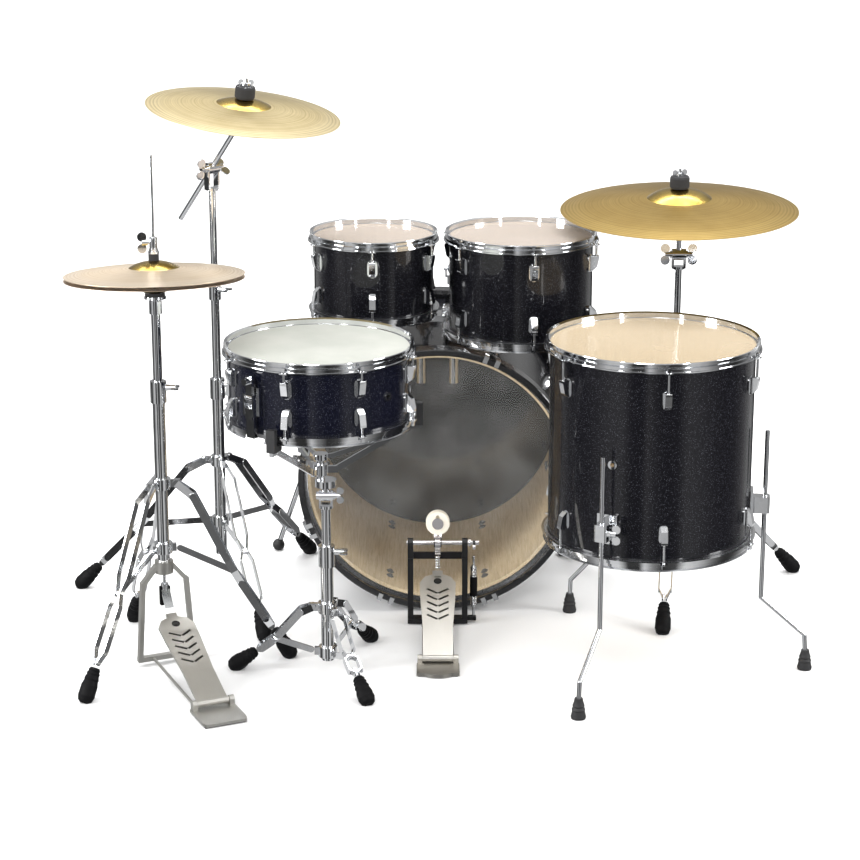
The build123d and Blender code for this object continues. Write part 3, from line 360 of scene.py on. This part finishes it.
def felt_and_chrome(name, matrix, bands, felt=(0.012, 0.012, 0.013)):
    """Chrome with felt washers in the given height bands round an axis."""
    f = Finish(name)
    here = f.place(matrix)
    z = f.xyz(here)[2]
    r = f.radius(here)
    mask = None
    for bottom, top in bands:
        band = (z > bottom) * (z < top)
        mask = band if mask is None else mask.math("MAXIMUM", band)
    mask = mask * (r > 0.0041) * (r < 0.0235)
    fuzz = f.noise(here, 1400.0, 3.0)
    haze = f.noise(here, 38.0, 4.0, 0.6)
    f.feed(Base_Color=f.blend(mask, CHROME_GREY, f.blend(fuzz, rgba(*felt), rgba(*(c * 3 for c in felt)))),
           Metallic=1 - mask, Roughness=mask * 0.85 + f.span(haze, 0.35, 0.65, 0.05, 0.13),
           Normal=f.bump(fuzz * mask, 0.6, 0.0008))
    return f.material


def rubber():
    f = Finish("black rubber", Base_Color=rgba(0.004, 0.004, 0.0045), Specular_IOR_Level=0.10)
    here = f.place()
    f.feed(Roughness=f.span(f.noise(here, 60.0, 4.0), 0.3, 0.7, 0.45, 0.70),
           Normal=f.bump(f.noise(here, 600.0, 3.0), 0.25, 0.0005))
    return f.material


def tipped(name, matrix, reach, low_z, high_z):
    """Chrome whose far end, past `reach` from an axis between two heights, is black rubber."""
    f = Finish(name)
    here = f.place(matrix)
    z = f.xyz(here)[2]
    mask = (f.radius(here) > reach) * (z > low_z) * (z < high_z)
    haze = f.noise(here, 38.0, 4.0, 0.6)
    grit = f.noise(here, 600.0, 3.0)
    f.feed(Base_Color=f.blend(mask, CHROME_GREY, RUBBER_BLACK), Metallic=1 - mask,
           Roughness=mask * 0.5 + f.span(haze, 0.35, 0.65, 0.05, 0.13), Normal=f.bump(grit * mask, 0.25,
           0.0005))
    return f.material


def aluminium(name, matrix, colour=(0.54, 0.525, 0.49)):
    """Cast and brushed aluminium, brushed along the local X axis."""
    f = Finish(name, Metallic=1.0)
    here = f.place(matrix)
    brushed = f.noise(f.stretch(here, (6, 240, 240)), 5.0, 4.0)
    cloud = f.noise(here, 22.0, 3.0)
    f.feed(Base_Color=f.blend(cloud, rgba(*(c * 0.88 for c in colour)), rgba(*colour)),
           Roughness=f.span(brushed, 0.3, 0.7, 0.30, 0.46),
           Normal=f.bump(brushed + f.noise(here, 800.0, 2.0) * 0.5, 0.18, 0.0004))
    return f.material


def pedal_enamel(name, edge_y):
    """Black enamel, with brushed aluminium for the heel plate nearer the player than edge_y."""
    f = Finish(name)
    here = f.place()
    heel = f.xyz(here)[1] < edge_y
    brushed = f.noise(f.stretch(here, (240, 6, 240)), 5.0, 4.0)
    f.feed(Base_Color=f.blend(heel, rgba(0.006, 0.006, 0.007),
        f.blend(brushed, rgba(0.44, 0.42, 0.38), rgba(0.54, 0.52, 0.48))),
           Metallic=heel * 1.0, Roughness=f.span(brushed, 0.3, 0.7, 0.28, 0.42),
           Normal=f.bump(f.noise(here, 420.0, 2.0), 0.08, 0.0004))
    return f.material


def enamel():
    f = Finish("black enamel", Base_Color=rgba(0.006, 0.006, 0.0065), Coat_Weight=0.2,
        Specular_IOR_Level=0.25)
    here = f.place()
    f.feed(Roughness=f.span(f.noise(here, 45.0, 4.0), 0.3, 0.7, 0.26, 0.42),
           Normal=f.bump(f.noise(here, 420.0, 2.0), 0.08, 0.0004))
    return f.material


def beater_finish(name, centre):
    """Cream felt and its polished disc at the beater's head, chrome elsewhere."""
    f = Finish(name)
    here = f.place(facing(centre, (0, 0, 1)))
    away = f.add("VectorMath", {"operation": "LENGTH"}, output=1, n0=here)
    swivel = math.radians(-8)
    along = f.add("VectorMath", {"operation": "DOT_PRODUCT"}, output=1, n0=here,
        n1=(0, -math.cos(swivel), -math.sin(swivel)))
    mask = (away < 0.0305) * (along < 0.01505) * (along > -0.0152)
    fuzz = f.noise(here, 1200.0, 3.0)
    f.feed(Base_Color=f.blend(mask, rgba(0.80, 0.78, 0.79),
        f.blend(fuzz, rgba(0.72, 0.66, 0.54), rgba(0.88, 0.84, 0.74))),
           Metallic=1 - mask, Roughness=mask * 0.8 + 0.14, Normal=f.bump(fuzz * mask, 0.6, 0.0009))
    return f.material


CHROME, RUBBER, ENAMEL = chrome(), rubber(), enamel()
finishes = {node: CHROME for node in frame["nodes"]}
finishes["bass_shell"] = glitter("bass drum wrap", BASS, BASS_R, (0.0045, 0.0045, 0.006))
FILMS = {"small_tom": (0.62, 0.55, 0.49), "large_tom": (0.62, 0.55, 0.49), "floor_tom": (0.68, 0.57, 0.41)}
for name, (edge, r) in DRUMS.items():
    here = Matrix.Translation(edge)
    tint = (0.0035, 0.004, 0.009) if name == "snare" else (0.0045, 0.0045, 0.006)
    finishes[f"{name}_shell"] = glitter(f"{name} wrap".replace("_", " "), here, r, tint)
    if name in FILMS:
        finishes[f"{name}_heads"] = clear_film(f"{name} film".replace("_", " "), here, r + 0.0005, 0.5,
        FILMS[name])
    else:
        finishes[f"{name}_heads"] = coated_film("coated snare head", here, r + 0.0005)
finishes["bass_hoops"] = lacquer()
finishes["bass_batter_head"] = clear_film("bass batter film", BASS, BASS_R + 0.0005, 0.055,
    (0.70, 0.70, 0.68))
finishes["bass_front_head"] = front_film()
finishes["crash_cymbal"] = cymbal_bronze("crash bronze", CRASH, 0.057, 0.203, (0.72, 0.61, 0.37),
    (0.42, 0.33, 0.16), 0.5, 1.8)
finishes["ride_cymbal"] = cymbal_bronze("ride bronze", RIDE, 0.069, 0.254, (0.46, 0.32, 0.10),
    (0.27, 0.175, 0.045), 0.5, 0.8)
finishes["hihat_top_cymbal"] = cymbal_bronze("hi-hat bronze", HAT_TOP, 0.050, 0.178, (0.95, 0.82, 0.66),
    (0.74, 0.60, 0.43), 0.6, 0.3)
# The lower hi-hat cymbal takes a darker copy of the upper cymbal's bronze: painted shade from the cymbal
# above it.
finishes["hihat_bottom_cymbal"] = cymbal_bronze("lower hi-hat bronze with painted shade", HAT_BOTTOM, 0.050, 0.178,
    (0.80, 0.65, 0.50), (0.60, 0.45, 0.30), 0.6, 0.3)
finishes["crash_boom_arm"] = felt_and_chrome("crash boom chrome and felt", CRASH,
    [(0.0292, 0.0552), (0.0134, 0.0238)])
finishes["ride_boom_arm"] = felt_and_chrome("ride boom chrome and felt", RIDE,
    [(0.0482, 0.0742), (0.0324, 0.0428)])
finishes["hihat_clutch"] = felt_and_chrome("clutch chrome and felt", HAT_TOP,
    [(-0.0090, -0.0020), (0.0001, 0.0130)])
finishes["hihat_upper_tube"] = felt_and_chrome("hi-hat seat chrome and felt", HAT_BOTTOM, [(-0.0070, 0.0)])
finishes["rubber_feet"] = RUBBER
finishes["hihat_footboard"] = aluminium("hi-hat footboard aluminium", along_board(*HAT_BOARD))
finishes["hihat_pedal_frame"] = aluminium("hi-hat frame aluminium", along_board(*HAT_BOARD),
    (0.50, 0.49, 0.46))
finishes["pedal_footboard"] = aluminium("footboard aluminium", along_board(*BASS_BOARD))
finishes["pedal_frame"] = pedal_enamel("pedal enamel and heel plate", at(0, -309).y)
finishes["pedal_spring"] = ENAMEL
BEATER_BACK = math.radians(40.7)
BEATER_LENGTH = 84.4
BEATER_HEAD = at(0, -70 - BEATER_LENGTH * math.sin(BEATER_BACK),
    182 + BEATER_LENGTH * math.cos(BEATER_BACK))
finishes["pedal_beater"] = beater_finish("beater felt and steel", BEATER_HEAD)
for number in (1, 2, 3):
    leg = f"floor_tom_leg_{number}"
    finishes[leg] = tipped("floor tom leg and tip", Matrix.Translation(at(425, -297)), 0.300, -0.01, 0.0421)
finishes["spur_left"] = tipped("left spur and ball foot", Matrix.Translation(at(0, 404)), 0.3495, -0.01,
    0.028)
finishes["spur_right"] = tipped("right spur and ball foot", Matrix.Translation(at(0, 404)), 0.3495, -0.01,
    0.028)
finishes["snare_basket"] = tipped("basket chrome and rubber tips", Matrix.Translation(at(-234, -345)),
    0.1735, 0.5208, 0.60)
for node, material in finishes.items():
    for slot in frame["nodes"][node].material_slots:
        slot.material = material


# ------------------------------------------------------------------ pieces modelled here
def begin():
    if bpy.context.mode != "OBJECT":
        bpy.ops.object.mode_set(mode="OBJECT")
    bpy.ops.object.select_all(action="DESELECT")


def choose(test):
    """Selects, in edit mode, the faces whose centre passes a test."""
    piece = bpy.context.object
    bpy.ops.mesh.select_mode(type="FACE")
    bpy.ops.mesh.select_all(action="DESELECT")
    bpy.ops.object.mode_set(mode="OBJECT")
    for face in piece.data.polygons:
        face.select = test(face)
    bpy.ops.object.mode_set(mode="EDIT")


def settle(place, angle=35):
    """Ends a piece: smooth by angle, moved into its place, with its place kept in its mesh."""
    if bpy.context.mode != "OBJECT":
        bpy.ops.object.mode_set(mode="OBJECT")
    piece = bpy.context.object
    bpy.ops.object.shade_smooth_by_angle(angle=math.radians(angle))
    bpy.ops.object.transform_apply(location=True, rotation=True, scale=True)
    piece.data.transform(place)
    return piece


def finish_piece(piece, name, material, body):
    piece.name = name
    piece.data.materials.clear()
    piece.data.materials.append(material)
    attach(piece, body)
    return piece


def can(radius, bottom, top, bevel, sides=40, place=Matrix.Identity(4)):
    """Round bar with softened rims about Z."""
    begin()
    bpy.ops.mesh.primitive_cylinder_add(vertices=sides, radius=radius, depth=top - bottom,
        location=(0, 0, (bottom + top) / 2))
    bpy.ops.object.mode_set(mode="EDIT")
    choose(lambda face: abs(face.normal.z) > 0.9)
    bpy.ops.mesh.bevel(offset=bevel, segments=3, affect="EDGES")
    return settle(place)


def slab(size, centre, bevel, place=Matrix.Identity(4)):
    """Block with softened edges."""
    begin()
    bpy.ops.mesh.primitive_cube_add(size=1, location=centre)
    bpy.context.object.scale = size
    bpy.ops.object.transform_apply(location=True, rotation=True, scale=True)
    bpy.ops.object.mode_set(mode="EDIT")
    bpy.ops.mesh.select_all(action="SELECT")
    bpy.ops.mesh.bevel(offset=bevel, segments=3, affect="EDGES")
    return settle(place)


def coil(radius, wire, pitch, turns, place):
    """Wire wound about Z."""
    begin()
    bpy.ops.mesh.primitive_circle_add(vertices=10, radius=wire, location=(0, 0, 0),
        rotation=(math.pi / 2, 0, 0))
    piece = bpy.context.object
    piece.location.x = radius
    bpy.ops.object.transform_apply(location=True, rotation=True, scale=True)
    wind = piece.modifiers.new("wind", "SCREW")
    wind.axis, wind.screw_offset, wind.iterations = "Z", pitch, turns
    wind.steps = wind.render_steps = 20
    bpy.ops.object.modifier_apply(modifier=wind.name)
    bpy.ops.object.mode_set(mode="EDIT")
    bpy.ops.mesh.select_all(action="SELECT")
    bpy.ops.mesh.normals_make_consistent(inside=False)
    return settle(place, 60)


def join(pieces):
    begin()
    for piece in pieces:
        piece.select_set(True)
    bpy.context.view_layer.objects.active = pieces[0]
    if len(pieces) > 1:
        bpy.ops.object.join()
    return bpy.context.object


def copies(piece, places):
    """The piece repeated at each place, every copy with its own mesh, joined."""
    made = []
    for place in places:
        twin = piece.copy()
        twin.data = piece.data.copy()
        twin.data.transform(place)
        bpy.context.collection.objects.link(twin)
        made.append(twin)
    bpy.data.objects.remove(piece)
    return join(made)


# The bass pedal's spring, wound wire with a black sleeve between two hooks.
SPRING = Matrix.Translation(at(77, -66))
spring = coil(0.0062, 0.0011, 0.0032, 27, SPRING @ Matrix.Translation((0, 0, 0.040)))
finish_piece(spring, "pull_spring", CHROME, "kit")
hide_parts("pedal_spring")
sleeve = can(0.0079, 0.060, 0.104, 0.0012, 36, SPRING)
finish_piece(sleeve, "spring_sleeve", RUBBER, "kit")
rods = [can(0.0029, 0.015, 0.042, 0.0008, 20, SPRING), can(0.0029, 0.125, 0.150, 0.0008, 20, SPRING),
        can(0.0052, 0.118, 0.129, 0.0010, 28, SPRING), can(0.0052, 0.036, 0.042, 0.0010, 28, SPRING)]
finish_piece(join(rods), "spring_rods", CHROME, "kit")
anchor = slab((0.0185, 0.0118, 0.0098), (-0.0036, 0, 0.0101), 0.0014, SPRING)
finish_piece(anchor, "spring_anchor", ENAMEL, "kit")

# The short roller chain between the footboard and the cam.
side = slab((0.0012, 0.0038, 0.0064), (0.0030, 0, 0), 0.0005)
other = slab((0.0012, 0.0038, 0.0064), (-0.0030, 0, 0), 0.0005)
roller = can(0.0018, -0.0046, 0.0046, 0.0004, 16, Matrix.Translation((0, 0,
    0.0030)) @ Matrix.Rotation(math.pi / 2, 4, "Y"))
link = join([side, other, roller])
chain = copies(link, [Matrix.Translation(at(0, -103.5, 134.6 + 5.7 * i)) for i in range(5)])
finish_piece(chain, "roller_chain", CHROME, "pedal_footboard")
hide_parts("pedal_chain")


# A black plate under the chevron slots, which the slots show as black, and a plain round badge on each
# footboard.
def grip_pad(name, board, body):
    frame_there = along_board(*board)
    reach = (board[1] - board[0]).length
    pad = slab((reach * 0.38, 0.052, 0.0009), (reach * 0.615, 0, -0.0026), 0.0003, frame_there)
    finish_piece(pad, name, RUBBER, body)
    begin()
    bpy.ops.mesh.primitive_cylinder_add(vertices=48, radius=0.0085, depth=0.0008,
        location=(reach * 0.875, 0, 0.0034))
    bpy.ops.object.mode_set(mode="EDIT")
    choose(lambda face: face.normal.z > 0.9)
    bpy.ops.mesh.inset(thickness=0.0012)
    bpy.ops.mesh.extrude_region_move(TRANSFORM_OT_translate={"value": (0, 0, -0.0004)})
    bpy.ops.mesh.inset(thickness=0.0028)
    bpy.ops.mesh.extrude_region_move(TRANSFORM_OT_translate={"value": (0, 0, 0.0005)})
    badge = settle(frame_there, 30)
    finish_piece(badge, name.replace("grip_pad", "round_badge"), ENAMEL, body)


grip_pad("bass_grip_pad", BASS_BOARD, "pedal_footboard")
grip_pad("hihat_grip_pad", HAT_BOARD, "hihat_footboard")

# The black strap that joins the hi-hat's pull rod to its footboard.
turn = Matrix.Rotation(HAT_TURN + math.pi / 2, 4, "Z")
strap = slab((0.0215, 0.0110, 0.040), (0, 0, 0), 0.0012, Matrix.Translation(at(HAT_X, HAT_Y, 146)) @ turn)
finish_piece(strap, "pull_strap", RUBBER, "hihat_pull_rod")

# Hexagon-headed lug screws with their washers inside the bass drum.
begin()
bpy.ops.mesh.primitive_cylinder_add(vertices=6, radius=0.0052, depth=0.0036, location=(0, 0, 0.0030))
bpy.ops.object.mode_set(mode="EDIT")
choose(lambda face: face.normal.z < -0.9)
bpy.ops.mesh.extrude_region_move(TRANSFORM_OT_translate={"value": (0, 0, 0)})
bpy.ops.transform.resize(value=(1.75, 1.75, 1))
bpy.ops.mesh.extrude_region_move(TRANSFORM_OT_translate={"value": (0, 0, -0.0013)})
choose(lambda face: face.normal.z > 0.9)
bpy.ops.mesh.bevel(offset=0.0007, segments=2, affect="EDGES")
screw = settle(Matrix.Identity(4), 30)
places = []
for along in (0.054, 0.078, 0.3284, 0.3524):
    for eighth in range(8):
        angle = math.radians(22.5 + 45 * eighth)
        outward = Matrix.Rotation(angle, 4, "Z") @ Matrix.Translation((BASS_R - 0.0070, 0, along))
        places.append(BASS @ outward @ Matrix.Rotation(-math.pi / 2, 4, "Y"))
screws = copies(screw, places)
GUNMETAL = Finish("dull zinc", Base_Color=rgba(0.20, 0.20, 0.20), Metallic=0.8)
GUNMETAL.feed(Roughness=GUNMETAL.span(GUNMETAL.noise(GUNMETAL.place(), 300.0), 0.3, 0.7, 0.35, 0.6))
finish_piece(screws, "bass_lug_screws", GUNMETAL.material, "kit")
begin()


# ------------------------------------------------------------------ room, light and camera
bpy.ops.object.select_all(action="DESELECT")
bpy.ops.mesh.primitive_plane_add(size=1, location=(0, 0, 0))
floor = bpy.context.object
floor.name = "studio_floor"
floor.scale = (16, 9, 1)
bpy.ops.object.transform_apply(location=True, rotation=True, scale=True)
bpy.ops.object.mode_set(mode="EDIT")
bpy.ops.mesh.select_all(action="DESELECT")
bpy.ops.object.mode_set(mode="OBJECT")
for edge in floor.data.edges:
    edge.select = all(floor.data.vertices[v].co.y > 4 for v in edge.vertices)
bpy.ops.object.mode_set(mode="EDIT")
bpy.ops.mesh.select_mode(type="EDGE")
for rise in (0.15, 0.45, 0.9, 6.0):
    bpy.ops.mesh.extrude_region_move(TRANSFORM_OT_translate={"value": (0, max(0.0, 0.9 - rise), rise)})
bpy.ops.object.mode_set(mode="OBJECT")
bpy.ops.object.shade_smooth()
floor.data.materials.append(Finish("studio paper", Base_Color=rgba(0.90, 0.90, 0.90),
    Roughness=0.7).material)
floor.visible_glossy = False


def softbox(name, place, target, width, height, power):
    light = bpy.data.lights.new(name, "AREA")
    light.shape, light.size, light.size_y, light.energy = "RECTANGLE", width, height, power
    lamp = bpy.data.objects.new(name, light)
    lamp.location = place
    lamp.rotation_euler = (Vector(target) - Vector(place)).to_track_quat("-Z", "Y").to_euler()
    bpy.context.collection.objects.link(lamp)


softbox("overhead softbox", (0, 0.6, 3.6), (0, 0.3, 0), 3.8, 3.0, 150)
softbox("left strip", (-3.4, -1.2, 1.6), (0, 0, 0.6), 0.9, 2.8, 120)
softbox("right strip", (3.5, -1.0, 1.7), (0, 0, 0.6), 0.9, 2.8, 90)
softbox("left slit", (-2.2, -3.6, 1.5), (0, 0, 0.6), 0.22, 2.4, 30)
softbox("right slit", (2.4, -3.4, 1.5), (0, 0, 0.6), 0.22, 2.4, 24)
softbox("front softbox", (-0.9, -5.2, 3.3), (0, 0, 0.5), 1.6, 1.1, 70)
softbox("backdrop light", (0, 1.6, 3.4), (0, 4.8, 0.6), 5.0, 0.8, 190)

world = bpy.data.worlds.new("studio")
world.use_nodes = True
bpy.context.scene.world = world
sky = world.node_tree.nodes["Background"]
sky.inputs["Strength"].default_value = 1.0


def studio_surround(tree):
    view = tree.nodes.new("ShaderNodeTexCoord")
    split = tree.nodes.new("ShaderNodeSeparateXYZ")
    tree.links.new(view.outputs["Generated"], split.inputs[0])
    across, deep, up = (Value(tree, out) for out in split.outputs)

    def greys(factor, stops):
        ramp = tree.nodes.new("ShaderNodeValToRGB")
        tree.links.new(factor.socket, ramp.inputs[0])
        fill_ramp(ramp.color_ramp, [(place, (grey, grey, grey * 1.01)) for place, grey in stops])
        return Value(tree, ramp.outputs[0])

    by_height = greys(up * 0.5 + 0.5, [(0.0, 0.50), (0.30, 0.34), (0.36, 0.22), (0.46, 0.20),
        (0.49, 0.55), (0.55, 0.60),
                                       (0.62, 0.25), (0.74, 0.55), (0.90, 0.75)])
    level = (across * across + deep * deep).math("SQRT") + 0.001
    bands = greys(across / level * 0.5 + 0.5, [(0.0, 0.05), (0.10, 0.9), (0.20, 1.0), (0.28, 0.06),
        (0.38, 0.05), (0.43, 0.95),
                                              (0.50, 0.35), (0.60, 0.05), (0.72, 0.10), (0.80,
                                              1.0), (0.90, 0.7), (1.0, 0.04)])
    low_down = greys(up * 0.5 + 0.5, [(0.0, 0.35), (0.25, 1.0), (0.46, 1.0), (0.58, 0.0)])
    mixed = by_height * (1 - low_down) + by_height * bands * low_down * 2.6
    seen = tree.nodes.new("ShaderNodeLightPath")
    paper = tree.nodes.new("ShaderNodeMix")
    paper.data_type = "RGBA"
    paper.inputs[7].default_value = (1, 1, 1, 1)
    tree.links.new(seen.outputs["Is Camera Ray"], paper.inputs[0])
    tree.links.new(mixed.socket, paper.inputs[6])
    tree.links.new(paper.outputs[2], sky.inputs["Color"])


studio_surround(world.node_tree)
bpy.context.scene.view_settings.view_transform = "Standard"

SENSOR = 36
FOCAL_WIDTHS = 2397 / 860
DOWNWARD = 16.46
eye = bpy.data.cameras.new("camera")
eye.sensor_width = SENSOR
eye.lens = SENSOR * FOCAL_WIDTHS
camera = bpy.data.objects.new("camera", eye)
camera.location = at(-16.3, -4895.3, 1857.5)
camera.rotation_euler = (math.radians(90 - DOWNWARD), 0, 0)
bpy.context.collection.objects.link(camera)
bpy.context.scene.camera = camera
